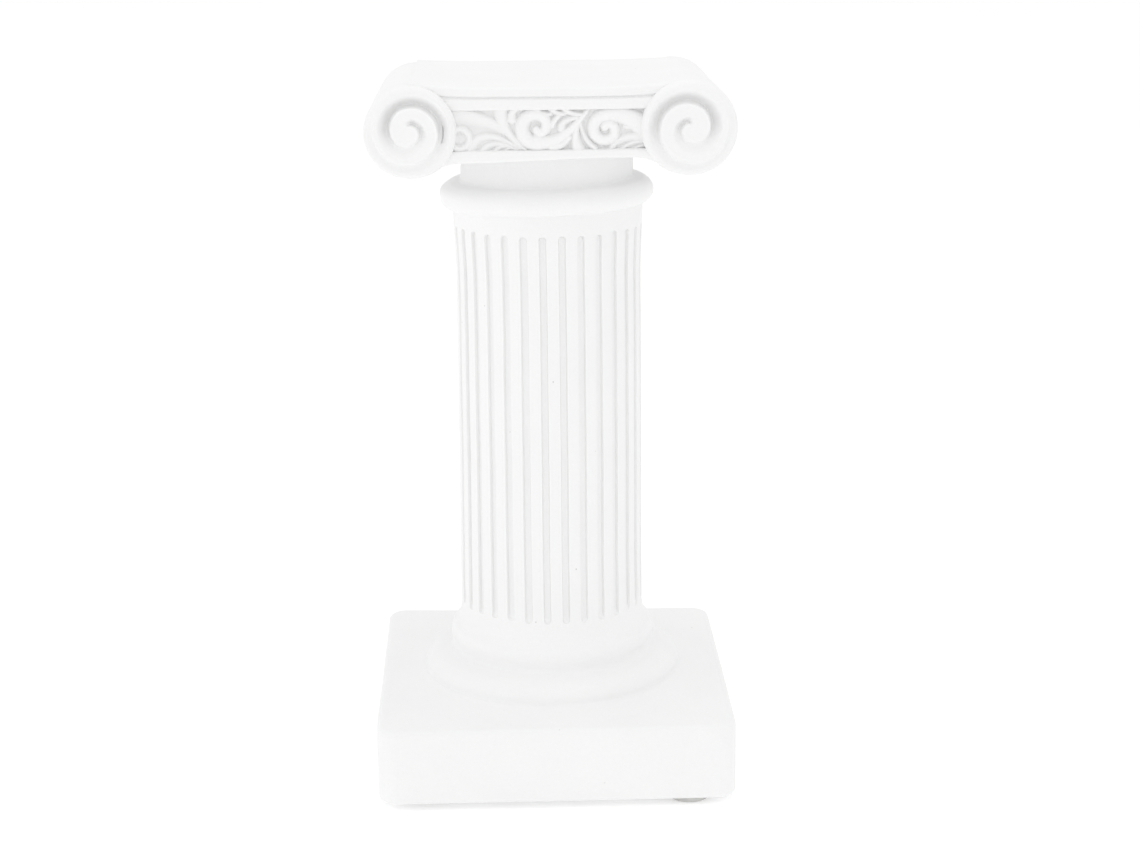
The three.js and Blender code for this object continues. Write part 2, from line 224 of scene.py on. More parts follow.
# Leaf relief, measured from the middle of the panel's foot
RELIEF = 1.9
RELIEF_FLOOR = 0.3
FRIEZE_WIDTH = 47
FRIEZE_OVERLAP = 0.5
FRIEZE_SHIFT = -0.45
FRIEZE_ROOT = 5
FRIEZE_PITCH = 0.15
BACK_PITCH = 0.3
DOME_EDGE = 2.2
DOME_TOP = 0.6
# Painted shade on the relief, strongest on the panel floor and easing off with this power as the relief
# rises
SHADE_EASE = 1.6
LEAF_STEPS = 70
SCROLL_STEPS = 130
SCROLL_EASE = 1.8
LEAVES = (
    # from, bend, to, widths, height, hollow, tilt to the left of its run
    ((-24, 7.4), (-12.5, 8.9), (-5.7, 0.1), (5.2, 1), 0.95, 0.1, 0.6),
    ((-10.9, 9.6), (-11.2, 4.7), (-5.3, 0), (3.7, 0.8), 0.95, 0.1, 0.2),
    ((-18, -0.4), (-15.8, 6.4), (-6.5, 0.3), (2.9, 1), 0.8, 0, 0.45),
    ((-15, -0.4), (-12.8, 3.1), (-7.2, 0.1), (2.3, 0.8), 0.75, 0, 0.5),
    ((-12.3, -0.4), (-10.5, 2), (-7.5, 0), (1.5, 0.6), 0.7, 0, 0.45),
    ((-10.2, -0.4), (-9.2, 0.9), (-7.6, 0), (1, 0.5), 0.6, 0, 0.4),
    ((-21.2, 2.7), (-20.4, 2.8), (-19.8, 2.7), (3, 3), 0.55, 0.2, 0),
    ((-6.9, 9.4), (-8.7, 8.9), (-8.3, 7), (1.3, 2.4), 0.9, 0.15, 0),
    ((8.8, 8.8), (2.5, 0.4), (-2.6, 1.8), (1.2, 4.2), 1, 0.08, 0),
    ((2.4, 7.7), (1.3, 7), (0.8, 5.6), (1.3, 1.8), 0.85, 0, 0),
    ((3, 4.9), (2.7, 6.7), (6.6, 7.3), (2.3, 1.2), 0.88, 0, 0.25),
    ((6.8, 6), (5.5, 2.4), (6.9, -0.2), (0.9, 3.4), 0.85, 0.1, -0.2),
    ((7.3, 6.5), (7.6, 2.4), (10.6, 0.2), (0.8, 1.6), 0.85, 0, 0),
    ((24, 3), (18.9, 8.3), (13.3, 7.8), (6, 3.3), 0.95, 0.1, -0.2),
    ((14.1, -0.4), (16.4, 3.8), (23, 2.3), (1.6, 2.6), 0.82, 0, 0.4),
    ((16.6, -0.4), (18.8, 2), (23, 1.5), (1.3, 1.2), 0.7, 0, 0.4),
    ((19.4, -0.4), (20.8, 0.8), (23, 0.7), (0.9, 0.9), 0.62, 0, 0.4),
    ((-2.9, 9.5), (-2, 8), (0.5, 8.1), (1.9, 1.2), 0.95, 0, 0.3),
    ((0.6, 9.5), (1.4, 8.2), (3.7, 8.2), (1.9, 1.2), 0.95, 0, 0.3),
    ((3.6, 9.5), (4.6, 8), (8, 8), (1.9, 1.1), 0.95, 0, 0.3),
    ((24, 4), (20.4, 5.2), (17.4, 5.1), (3.6, 1.2), 0.75, 0, 0),
    ((0.6, 0.7), (3, 0.4), (4.7, 2.8), (2.4, 1.4), 0.9, 0, 0),
)
SCROLLS = (
    # centre, first angle, turns, radii, widths, height
    ((-2.6, 5.2), 275, -1.08, (3.75, 0.55), (3.9, 2.2), 1),
    ((13.2, 4.6), 88, 1.12, (3.15, 0.55), (3.3, 2.2), 1),
    ((-20.4, 2.8), -115, 0.66, (2.3, 2.2), (1.9, 1.9), 0.85),
)
BACK_LEAVES = (0, 8, 13, 14)
BACK_SCROLLS = (0, 1)

# Unevenness of the casting: its amount, and the places where it sets in and fades
CASTING_SEED = 5
LEAN = 0.25
LEAN_Z = (18, 125)
CAPITAL_LEAN = 0.2
CAPITAL_LEAN_Z = (140, 150)
CORNER_LIFT = 0.9
CORNER_SPAN = ((8, 18), (20, 30))
RING_SAG = 1.5
RING_SAG_SPAN = ((134, 138), (139, 143))
RING_PRESS = 1.2
RING_PRESS_Z = (140.5, 144)
RING_END_Z = (145, 149)
CAPITAL_DROP = 0.27
CAPITAL_DROP_Z = (147, 151.5)
SLAB_TILT = 0.8
SLAB_TILT_ACROSS = ((-20, 12), (18, 26))
SLAB_TILT_SPAN = ((149, 151.5), (151.8, 154.6))
WAVES = 0.15
WAVE_SIZE = 26
LUMPS = 0.2
LUMP_SIZE = 9
BASE_LUMP_SPAN = ((18.5, 21), (31, 34))
RING_LUMP_SPAN = ((135, 138), (145, 147))

CREASE_ANGLE = math.radians(42)
SUNK = 0.01
LEVEL = 0.01
ON_AXIS = 1
MERGE = 1e-4

# Looks: colours, and scales of patches and grain for places in metres
WHITE = (1, 1, 1, 1)
RESIN_DULL = (0.912, 0.912, 0.911)
RESIN_PALE = (0.928, 0.928, 0.927)
RESIN_SPECK = (0.87, 0.87, 0.87)
# Painted highlight colour for lit edges
RESIN_PAINTED_HIGHLIGHT = (0.97, 0.97, 0.968)
# Painted shade colour for hollows
RESIN_PAINTED_SHADE = (0.76, 0.758, 0.752)
# Painted shade colour for the air holes
RESIN_HOLE_SHADE = (0.46, 0.457, 0.45)
RESIN_ROUGHNESS = (0.52, 0.68)
RESIN_GRAIN = {"scale": 1500, "holes": 0.16, "strength": 0.22, "distance": 0.0001}
BODY_PATCHES = 60
SPECK_PATCHES = 1800
SPECK_SHARE = 0.35
ROUGH_PATCHES = 140
MARK_PATCHES = 300
HIGHLIGHT_SHARES = (0.5, 1)
SHADE_SHARES = (0.35, 0.6)
PATCH_RANGE = (0.3, 0.7)
PATCH_DETAIL = 4
GRAIN_DETAIL = 3
HOLE_CELLS = 190
HOLE_SIZES = (0.02, 0.06)
HOLE_HEIGHT = -3
RUBBER_DARK = (0.55, 0.545, 0.53)
RUBBER_PALE = (0.64, 0.635, 0.62)
RUBBER_PATCHES = 400
RUBBER_ROUGHNESS = 0.5
RUBBER_GRAIN = {"scale": 2600, "holes": 0, "strength": 0.15, "distance": 0.00005}
FLOOR_DULL = (0.95, 0.95, 0.95)
FLOOR_PALE = (0.97, 0.97, 0.97)
FLOOR_PATCHES = 3
FLOOR_ROUGHNESS = 0.8

# Stage and camera, in metres; the floor's glow is stronger under the plinth than outside it
FLOOR_HALF = 6
FLOOR_GLOW = (0.24, 0.12)
FLOOR_GLOW_EDGE = (0.039, 0.047)
SOFT_BOXES = (
    # name, place, size, watts
    ("left", (-1.25, 0, 0.3), 0.6, 0.45),
    ("front_left", (-1.1, -0.75, 0.45), 0.8, 0.42),
    ("overhead", (0.1, -0.05, 1.3), 0.8, 1.75),
)
LIGHT_AIM = Vector((0, 0, 0.09))
SKY_STRENGTH = 0.915
CAMERA_AIM = Vector((0.00504, 0, 0.0828))
CAMERA_DISTANCE = 0.5867
CAMERA_AZIMUTH = math.radians(-1.72)
CAMERA_ELEVATION = math.radians(15.04)
CAMERA_ROLL = math.radians(0.567)
CAMERA_LENS = 74.73
CAMERA_SENSOR = 36


def smooth(low, high, value):
    """0 below low, 1 above high, with an even S curve between."""
    share = np.clip((value - low) / (high - low), 0, 1)
    return share * share * (3 - 2 * share)


def window(value, starts, ends):
    """1 between two soft edges, each a pair of places, and 0 outside them."""
    return float(smooth(*starts, value) * (1 - smooth(*ends, value)))


def oval(radius, height, across, up, first, last, steps):
    """Profile points on part of an oval, angles in degrees from straight out."""
    turns = np.radians(np.linspace(first, last, steps + 1))
    return [(radius + across * math.cos(t), height + up * math.sin(t)) for t in turns]


def bow(first, bend, last, steps):
    """Points on a smooth bow from one place to another, pulled towards its bend."""
    share = np.linspace(0, 1, steps)[:, None]
    inner = 2 * share * (1 - share) * np.array(bend)
    return (1 - share) ** 2 * np.array(first) + inner + share ** 2 * np.array(last)


def add_marks(bm):
    """Two values kept at every point: how much painted shade its hollow gets and how much painted
    highlight its edge gets.
    """
    bm.verts.layers.float.new("hollow")
    bm.verts.layers.float.new("painted_highlight")


def marks(bm):
    layers = bm.verts.layers.float
    return layers["hollow"], layers["painted_highlight"]


def is_level(edge):
    return abs(edge.verts[0].co.z - edge.verts[1].co.z) < LEVEL


def rounded(bm, edges, radius, segments):
    bmesh.ops.bevel(bm, geom=edges, offset=radius, affect="EDGES", segments=segments, profile=0.5,
                    material=-1)


def sliced(bm, place, normal):
    """Adds points all round a shell where a plane crosses it."""
    whole = bm.verts[:] + bm.edges[:] + bm.faces[:]
    bmesh.ops.bisect_plane(bm, geom=whole, plane_co=place, plane_no=normal)


def turned(profile, steps, axis):
    """A profile of (radius, place along the axis) points spun once round Y or Z."""
    bm = bmesh.new()
    rail = []
    for radius, along in profile:
        rail.append(bm.verts.new((radius, along, 0) if axis == "Y" else (radius, 0, along)))
    edges = [bm.edges.new(pair) for pair in zip(rail, rail[1:])]
    direction = (0, 1, 0) if axis == "Y" else (0, 0, 1)
    bmesh.ops.spin(bm, geom=rail + edges, cent=(0, 0, 0), axis=direction, angle=math.tau, steps=steps,
                   use_merge=True)
    bmesh.ops.remove_doubles(bm, verts=bm.verts, dist=MERGE)
    bmesh.ops.recalc_face_normals(bm, faces=bm.faces)
    add_marks(bm)
    return bm


def plinth():
    bm = bmesh.new()
    bmesh.ops.create_cube(bm, size=1)
    bmesh.ops.translate(bm, vec=(0, 0, 0.5), verts=bm.verts)
    bmesh.ops.scale(bm, vec=(PLINTH_WIDTH, PLINTH_WIDTH, PLINTH_HEIGHT), verts=bm.verts)
    rounded(bm, [e for e in bm.edges if not is_level(e)], PLINTH_CORNER, PLINTH_CORNER_STEPS)
    rounded(bm, [e for e in bm.edges if is_level(e)], PLINTH_EDGE, PLINTH_EDGE_STEPS)
    for place in PLINTH_CUTS * PLINTH_WIDTH:
        for normal in (Vector((1, 0, 0)), Vector((0, 1, 0))):
            sliced(bm, normal * place, normal)
    for height in PLINTH_LEVELS * PLINTH_HEIGHT:
        sliced(bm, (0, 0, height), (0, 0, 1))
    add_marks(bm)
    return bm


def base_mouldings():
    """The gentle swell of the plinth's top, a low cushion and a round torus above it."""
    crown = []
    for share in np.linspace(0, CROWN_REACH, 9):
        radius = CROWN_RADIUS + (CUSHION_RADIUS - CROWN_INSET - CROWN_RADIUS) * share
        crown.append((radius, PLINTH_HEIGHT - CROWN_SINK + CROWN_RISE * share ** CROWN_EASE))
    cushion_inner = CUSHION_RADIUS - CUSHION_SWELL
    cushion = oval(cushion_inner, CUSHION_Z, CUSHION_SWELL, CUSHION_RISE, *CUSHION_ARC, 14)
    crease = (CUSHION_RADIUS, PLINTH_HEIGHT + CROWN_RISE)
    fillet = bow(crown[-1], crease, cushion[0], 7)[1:-1]
    torus_inner = TORUS_RADIUS - TORUS_TUBE
    cove_radius = TORUS_RADIUS - COVE_INSET + COVE_RADIUS
    profile = [(0, PLINTH_HEIGHT / 2), (CROWN_RADIUS, PLINTH_HEIGHT / 2), *crown, *fillet, *cushion,
               *oval(cove_radius, COVE_Z, COVE_RADIUS, COVE_RADIUS, *COVE_ARC, 8),
               *oval(torus_inner, TORUS_Z, TORUS_TUBE, TORUS_TUBE, *TORUS_ARC, 16),
               (SHAFT_FOOT_RADIUS - SHAFT_SEAT_INSET, SHAFT_FOOT_Z), (0, SHAFT_FOOT_Z)]
    return turned(profile, ROUND_STEPS, "Z")


def shaft_radius(height):
    """The bare shaft: a slight taper, flared to the torus at its foot and to the band at its head."""
    gain = SHAFT_HEAD_RADIUS - SHAFT_FOOT_RADIUS
    taper = SHAFT_FOOT_RADIUS + gain * (height - TAPER_FOOT_Z) / TAPER_RISE
    below = max(0, (SHAFT_FLARE_Z - height) / (SHAFT_FLARE_Z - SHAFT_FOOT_Z))
    foot = SHAFT_FLARE * below ** SHAFT_FLARE_EASE
    head = (BAND_RADIUS - SHAFT_HEAD_RADIUS) * smooth(*BAND_SWELL_Z, height)
    return taper + foot + head


def shaft_profile():
    flare = [SHAFT_FOOT_Z - SHAFT_ROOT, SHAFT_FOOT_Z, *FLARE_HEIGHTS]
    flute_feet = [FLUTE_FOOT_Z + s for s in FLUTE_END_STATIONS]
    flute_heads = [FLUTE_HEAD_Z - s for s in FLUTE_END_STATIONS]
    band = [*BAND_HEIGHTS, BAND_TOP_Z - BAND_EDGE, BAND_TOP_Z]
    heights = sorted(flare + flute_feet + [*TAPER_HEIGHTS] + flute_heads + band)
    return [(0, heights[0]), *((shaft_radius(z), z) for z in heights), (0, heights[-1])]


def fluted_shaft():
    """The shaft spun round, with its points drawn together at each flute and pushed in to cut it."""
    stations = 2 * len(FLUTE_STATIONS)
    bm = turned(shaft_profile(), FLUTES * stations, "Z")
    hollow, painted_highlight = marks(bm)
    half_pitch = SHAFT_FOOT_RADIUS * FLUTE_PITCH / 2
    spread = FLUTE_STATIONS + (half_pitch,)
    for vert in bm.verts:
        radius = math.hypot(vert.co.x, vert.co.y)
        if radius < ON_AXIS:
            continue
        step = round(math.atan2(vert.co.x, -vert.co.y) / FLUTE_PITCH * stations)
        flute = math.floor(step / stations + 0.5)
        side = step - flute * stations
        aside = math.copysign(spread[abs(side)], side)
        change = noise.noise_vector(Vector((flute * FLUTE_CHANGE_STEP, FLUTE_CHANGE_ROW, 0)))

        below = FLUTE_FOOT_Z + FLUTE_HALF - vert.co.z
        above = vert.co.z - (FLUTE_HEAD_Z - FLUTE_HALF)
        inside = FLUTE_HALF - math.hypot(aside, max(0, below, above))
        cut = float(smooth(0, FLUTE_WALL, inside))
        ease = float(smooth(*FLUTE_FOOT_EASE, vert.co.z - FLUTE_FOOT_Z))
        depth = FLUTE_DEPTH * cut * (FLUTE_FOOT_SHARE + (1 - FLUTE_FOOT_SHARE) * ease)
        depth *= 1 - FLUTE_ROUND * (aside / FLUTE_HALF) ** 2

        rise = (vert.co.z - FLUTE_FOOT_Z) / (FLUTE_HEAD_Z - FLUTE_FOOT_Z)
        near = 1 - float(smooth(FLUTE_HALF, half_pitch, abs(aside)))
        wide = aside * (1 + FLUTE_WIDTH_CHANGE * change.x * near)
        turn = FLUTE_TURN + FLUTE_TWIST * rise + flute * FLUTE_PITCH + wide / SHAFT_FOOT_RADIUS
        turn -= FLUTE_CROWD * math.sin(turn)
        vert.co.x = (radius - depth) * math.sin(turn)
        vert.co.y = -(radius - depth) * math.cos(turn)
        foot = window(rise, *FLUTE_FOOT_SPAN)
        head = window(rise, *FLUTE_HEAD_SPAN)
        vert.co.z += FLUTE_END_CHANGE * (change.y * foot + change.z * head)

        # Painted shade: a darker colour on the flute walls, weaker at the flute's foot
        vert[hollow] = ease * cut * float(smooth(*FLUTE_SHADE, 1 - inside / FLUTE_HALF))
        # Painted highlight along the flute lips: full on the right lips, which face the light from the
        # left, and weaker on the left lips
        lip_highlight = max(0, 1 - abs(inside + FLUTE_HIGHLIGHT_OUTSET) / FLUTE_HIGHLIGHT_HALF)
        vert[painted_highlight] = lip_highlight * (1 if aside > 0 else FLUTE_HIGHLIGHT_LEFT)
    return bm


def neck():
    """The round ring above the shaft and the short neck that carries the capital."""
    ring_foot = RING_Z - BAND_TOP_Z
    cove_z = RING_Z + RING_TUBE + NECK_COVE
    profile = [(0, BAND_TOP_Z - RING_ROOT), (BAND_RADIUS - 2 * RING_INSET, BAND_TOP_Z - RING_ROOT),
               (BAND_RADIUS - RING_INSET, BAND_TOP_Z - RING_LIP),
               *oval(RING_RADIUS - ring_foot, RING_Z, ring_foot, ring_foot, *RING_FOOT_ARC, 10),
               *oval(RING_RADIUS - RING_TUBE, RING_Z, RING_TUBE, RING_TUBE, *RING_TOP_ARC, 11),
               *oval(NECK_RADIUS + NECK_COVE, cove_z, NECK_COVE, NECK_COVE, *NECK_COVE_ARC, 6),
               (NECK_RADIUS, NECK_MIDDLE_Z), (NECK_RADIUS, NECK_TOP_Z), (0, NECK_TOP_Z)]
    bm = turned(profile, ROUND_STEPS, "Z")
    bmesh.ops.translate(bm, vec=(NECK_SHIFT, 0, 0), verts=bm.verts)
    return bm


def spiral_cut(radius, turn, radii):
    """Share of a spiral's depth at a polar place: its inner side is steep and its outer side eases out."""
    share = 0.0
    last = (len(radii) - 1) / QUARTERS
    low_side = SPIRAL_LOW_SHARE + (1 - SPIRAL_LOW_SHARE) * float(smooth(*SPIRAL_LOW_SINES, math.sin(turn)))
    along = (turn - SPIRAL_TURN) / math.tau % 1
    while along <= last:
        groove = np.interp(along * QUARTERS, range(len(radii)), radii)
        size = SPIRAL_EYE_SHARE + (1 - SPIRAL_EYE_SHARE) * smooth(*SPIRAL_EYE_TURNS, along)
        offset = (radius - groove) / size
        if offset < 0:
            wall = 1 - smooth(0, SPIRAL_STEEP, -offset)
        else:
            wall = 1 - smooth(0, SPIRAL_SLOPE, offset)
        ends = smooth(*SPIRAL_START_TURNS, along) * (1 - smooth(last - SPIRAL_FADE_TURNS, last, along))
        inner = SPIRAL_INNER_SHARE * float(1 - smooth(*SPIRAL_INNER_TURNS, along))
        share = max(share, float(wall * ends * size * max(low_side, inner)))
        along += 1
    return share


def roll_profile(shoulder):
    rim = ROLL_RADIUS - ROLL_EDGE
    back_rim = ROLL_BACK_RADIUS - ROLL_EDGE
    narrowing = ROLL_BACK_RADIUS - ROLL_RADIUS
    return [*((r, -ROLL_FACE_Y) for r in np.linspace(0, rim, FACE_RINGS)[:-1]),
            *oval(rim, -shoulder, ROLL_EDGE, ROLL_EDGE, -90, 0, 6),
            *((ROLL_RADIUS + narrowing * s, shoulder * (2 * s - 1))
              for s in np.linspace(0, 1, BARREL_RINGS)[1:-1]),
            *oval(back_rim, shoulder, ROLL_EDGE, ROLL_EDGE, 0, 90, 5),
            *((r, ROLL_FACE_Y) for r in np.linspace(back_rim, 0, BACK_FACE_RINGS)[1:])]


def roll(side):
    """One roll of the capital, narrowing to the back, with a spiral sunk in each end."""
    shoulder = ROLL_FACE_Y - ROLL_EDGE
    bm = turned(roll_profile(shoulder), ROLL_STEPS, "Y")
    hollow, painted_highlight = marks(bm)
    for vert in bm.verts:
        front = vert.co.y < 0
        flat = smooth(shoulder, ROLL_FACE_Y, abs(vert.co.y))
        if flat == 0:
            continue
        size = 1 if front else ROLL_BACK_RADIUS / ROLL_RADIUS
        hand = side if front else -side
        radii = SPIRAL_RADII[hand]
        radius = math.hypot(vert.co.x, vert.co.z) / size
        turn = math.atan2(vert.co.z, hand * vert.co.x)
        share = flat * spiral_cut(radius, turn, radii)
        vert.co.y += SPIRAL_DEPTH * share * (1 if front else -1)
        # Painted shade in the spiral groove, darkest where the cut is deepest
        vert[hollow] = SPIRAL_SHADE * share ** 2
        # Painted highlight on the ridge edge just inside each groove's steep wall
        ridge = spiral_cut(radius + RIDGE_REACH, turn, radii) - RIDGE_CUTOFF * share
        vert[painted_highlight] = RIDGE_HIGHLIGHT * flat * max(0, ridge)
        if front and side < 0:
            crack = window(vert.co.z, *CRACK_SPAN) * (vert.co.x > 0)
            crack *= max(0, 1 - abs(radius - CRACK_RADIUS) / CRACK_HALF)
            vert.co.y += CRACK_DEPTH * crack
            # Painted shade in the crack on the left roll's face
            vert[hollow] = max(vert[hollow], CRACK_SHADE * crack)
    if side < 0:
        bmesh.ops.scale(bm, vec=(LEFT_ROLL_SHARE, 1, LEFT_ROLL_SHARE), verts=bm.verts)
        bmesh.ops.translate(bm, vec=LEFT_ROLL_SHIFT, verts=bm.verts)
    bmesh.ops.translate(bm, vec=(side * ROLL_X, 0, ROLL_Z), verts=bm.verts)
    return bm


def slab_section():
    """Half of the slab's side profile, from the middle of its underside to the middle of its top."""
    band = SLAB_BAND_Y
    edge, foot_edge, top_edge = SLAB_EDGE, PANEL_FOOT_EDGE, PANEL_TOP_EDGE
    line_foot, line_foot_up = LINE_FOOT_EDGE
    line_top, line_top_up = LINE_TOP_EDGE
    return [*((y, SLAB_FOOT_Z) for y in SLAB_FOOT_PLACES),
            *oval(band - edge, SLAB_FOOT_Z + edge, edge, edge, -90, 0, 5),
            (band + BAND_BOW, LOWER_BAND_Z),
            *oval(band - foot_edge, PANEL_FOOT_Z - foot_edge, foot_edge, foot_edge, 0, 80, 5),
            (PANEL_FLOOR_Y, PANEL_FOOT_Z + PANEL_SLANT),
            (PANEL_FLOOR_Y, PANEL_TOP_Z - PANEL_SLANT),
            *oval(band - top_edge, PANEL_TOP_Z + top_edge, top_edge, top_edge, -80, -10, 5),
            (band + BAND_BOW, UPPER_BAND_Z),
            *oval(band - line_foot, LINE_FOOT_Z - line_foot_up, line_foot, line_foot_up, 5, 80, 4),
            (band - LINE_SINK, (LINE_FOOT_Z + LINE_TOP_Z) / 2),
            *oval(band - line_top, LINE_TOP_Z + line_top_up, line_top, line_top_up, -80, 0, 4),
            *oval(band - edge, SLAB_TOP_Z - edge, edge, edge, 0, 90, 6),
            *((y, SLAB_TOP_Z) for y in SLAB_TOP_PLACES)]


def tucked(x, y, z):
    """A place on the slab or the frieze, pulled in inside a roll so that the spirals stay clear of it."""
    inside = TUCK_REACH * ROLL_RADIUS - math.hypot(abs(x) - ROLL_X, z - ROLL_Z)
    return x, y * (1 - TUCK_SHARE * float(smooth(0, TUCK_EASE, inside))), z


def slab():
    """The slab between the rolls: its section drawn along X, dished on top and swept into the rolls."""
    half = slab_section()
    section = [(-y, z) for y, z in half] + [(y, z) for y, z in reversed(half)][1:]
    around = len(section) - 1
    bm = bmesh.new()
    bmesh.ops.create_grid(bm, x_segments=SLAB_STEPS, y_segments=around, size=0.5)
    for vert in bm.verts:
        x = 2 * ROLL_X * vert.co.x
        y, z = section[round((vert.co.y + 0.5) * around)]
        roll_radius = ROLL_RADIUS + (ROLL_BACK_RADIUS - ROLL_RADIUS) * (y / ROLL_FACE_Y + 1) / 2
        dish = np.clip((abs(x) - DISH_FLAT_X) / (ROLL_X - DISH_FLAT_X), 0, 1)
        rise = (ROLL_Z + roll_radius - SLAB_TOP_Z - DISH_GAP) * dish ** DISH_EASE
        sweep = np.clip((abs(x) - SWEEP_START_X) / (ROLL_X - SWEEP_START_X), 0, 1)
        drop = SWEEP_DROP * sweep ** SWEEP_EASE
        upper = smooth(LINE_FOOT_Z - DISH_FADE, SLAB_TOP_Z, z)
        lower = 1 - smooth(SLAB_FOOT_Z, PANEL_FOOT_Z, z)
        vert.co = tucked(x, y, z + (rise * upper - drop * lower))
    bmesh.ops.remove_doubles(bm, verts=bm.verts, dist=MERGE)
    bmesh.ops.holes_fill(bm, edges=[e for e in bm.edges if e.is_boundary], sides=0)
    bmesh.ops.recalc_face_normals(bm, faces=bm.faces)
    add_marks(bm)
    return bm


def leaf_path(first, bend, last, widths):
    """Points and widths along a leaf."""
    return bow(first, bend, last, LEAF_STEPS), np.linspace(*widths, LEAF_STEPS)


def scroll_path(centre, angle, turns, radii, widths):
    """Points and widths along a scroll, from its outer end to its eye."""
    share = np.linspace(0, 1, SCROLL_STEPS)
    turn = math.radians(angle) + math.tau * turns * share
    radius = radii[0] + (radii[1] - radii[0]) * share ** SCROLL_EASE
    places = np.stack([centre[0] + radius * np.cos(turn), centre[1] + radius * np.sin(turn)], axis=1)
    return places, widths[0] + (widths[1] - widths[0]) * share


def stroke(places, path, widths, height, hollow, tilt):
    """Relief of one leaf or scroll at many places: a rounded band along its path, hollowed and tilted."""
    away = places[:, None, :] - path[None, :, :]
    gaps = np.linalg.norm(away, axis=2) / (widths / 2)
    nearest = gaps.argmin(axis=1)
    rows = np.arange(len(places))
    aside = np.clip(gaps[rows, nearest], 0, 1)
    ahead = np.gradient(path, axis=0)
    left = np.stack([-ahead[:, 1], ahead[:, 0]], axis=1) / np.linalg.norm(ahead, axis=1)[:, None]
    offset = np.sum(away[rows, nearest] * left[nearest], axis=1) / (widths[nearest] / 2)
    dome = (1 - aside ** DOME_EDGE) ** DOME_TOP
    hollowed = 1 - hollow * (1 - aside ** 2)
    tilted = 1 + tilt * (np.clip(offset, -1, 1) - 1) / 2
    return RELIEF * height * dome * hollowed * tilted


def relief(places, leaves, scrolls):
    strokes = [np.full(len(places), RELIEF_FLOOR)]
    for first, bend, last, widths, height, hollow, tilt in leaves:
        strokes.append(stroke(places, *leaf_path(first, bend, last, widths), height, hollow, tilt))
    for centre, angle, turns, radii, widths, height in scrolls:
        strokes.append(stroke(places, *scroll_path(centre, angle, turns, radii, widths), height, 0, 0))
    return np.max(strokes, axis=0)


def frieze(leaves, scrolls, pitch):
    """The leaf relief of the front panel, with a flat back that lies inside the slab."""
    panel = PANEL_TOP_Z - PANEL_FOOT_Z
    wide = FRIEZE_WIDTH
    tall = panel + FRIEZE_OVERLAP
    bm = bmesh.new()
    bmesh.ops.create_grid(bm, x_segments=round(wide / pitch), y_segments=round(tall / pitch), size=0.5)
    bmesh.ops.scale(bm, vec=(wide, tall, 1), verts=bm.verts)
    bmesh.ops.translate(bm, vec=(0, panel / 2, 0), verts=bm.verts)
    places = np.array([v.co.xy for v in bm.verts])
    heights = relief(places, leaves, scrolls)
    add_marks(bm)
    hollow, _ = marks(bm)
    for vert, height in zip(bm.verts, heights):
        # Painted shade, strongest on the panel floor and fading as the relief rises
        vert[hollow] = float(1 - height / RELIEF) ** SHADE_EASE
        vert.co = tucked(vert.co.x + FRIEZE_SHIFT, -PANEL_FLOOR_Y - height, PANEL_FOOT_Z + vert.co.y)
    inner = [v for v in bm.verts if not v.is_boundary]
    bmesh.ops.smooth_vert(bm, verts=inner, factor=0.5, use_axis_y=True)
    border = [e for e in bm.edges if e.is_boundary]
    sides = bmesh.ops.extrude_edge_only(bm, edges=border)["geom"]
    for vert in (g for g in sides if isinstance(g, bmesh.types.BMVert)):
        vert.co.y = FRIEZE_ROOT - PANEL_FLOOR_Y
    bmesh.ops.holes_fill(bm, edges=[e for e in bm.edges if e.is_boundary], sides=0)
    bmesh.ops.recalc_face_normals(bm, faces=bm.faces)
    return bm


def hand_cast(place):
    """Where a point of the true form ends up in the casting: a slight lean and a soft unevenness."""
    x, y, z = place
    lean = LEAN * float(smooth(*LEAN_Z, z)) + CAPITAL_LEAN * float(smooth(*CAPITAL_LEAN_Z, z))
    back_left = max(0, -x) * max(0, y) / (PLINTH_WIDTH / 2) ** 2
    lift = CORNER_LIFT * back_left * window(z, *CORNER_SPAN)
    left = max(0, -x / RING_RADIUS) ** 2 * float(1 - smooth(*RING_END_Z, z))
    sag = RING_SAG * left * window(z, *RING_SAG_SPAN)
    sag += RING_PRESS * left * float(smooth(*RING_PRESS_Z, z))
    drop = CAPITAL_DROP * float(smooth(*CAPITAL_DROP_Z, z))
    tilt = SLAB_TILT * window(x, *SLAB_TILT_ACROSS) * window(z, *SLAB_TILT_SPAN)
    lumpy = window(z, *BASE_LUMP_SPAN) + window(z, *RING_LUMP_SPAN)
    uneven = WAVES * noise.noise_vector(place / WAVE_SIZE)
    uneven += LUMPS * lumpy * noise.noise_vector(place / LUMP_SIZE)
    return Vector((x + lean, y, z + lift - sag - drop + tilt)) + uneven


def piece_from(shells, name, slot, material, *nodes):
    """One object at the origin from closed shells in millimetres above the floor, riding on the frame."""
    whole = bmesh.new()
    for bm in shells:
        part = bpy.data.meshes.new("part")
        bm.to_mesh(part)
        whole.from_mesh(part)
        bm.free()
        bpy.data.meshes.remove(part)
    for face in whole.faces:
        face.smooth = True
    hollow, _ = marks(whole)
    for edge in whole.edges:
        sunk = min(vert[hollow] for vert in edge.verts) > SUNK
        edge.smooth = sunk or edge.calc_face_angle(0) < CREASE_ANGLE
    bmesh.ops.scale(whole, vec=(MM, MM, MM), verts=whole.verts)
    mesh = bpy.data.meshes.new(name)
    whole.to_mesh(mesh)
    whole.free()
    mesh.materials.append(material)
    piece = bpy.data.objects.new(name, mesh)
    bpy.context.scene.collection.objects.link(piece)
    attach(piece, "root")
    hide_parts(*nodes)


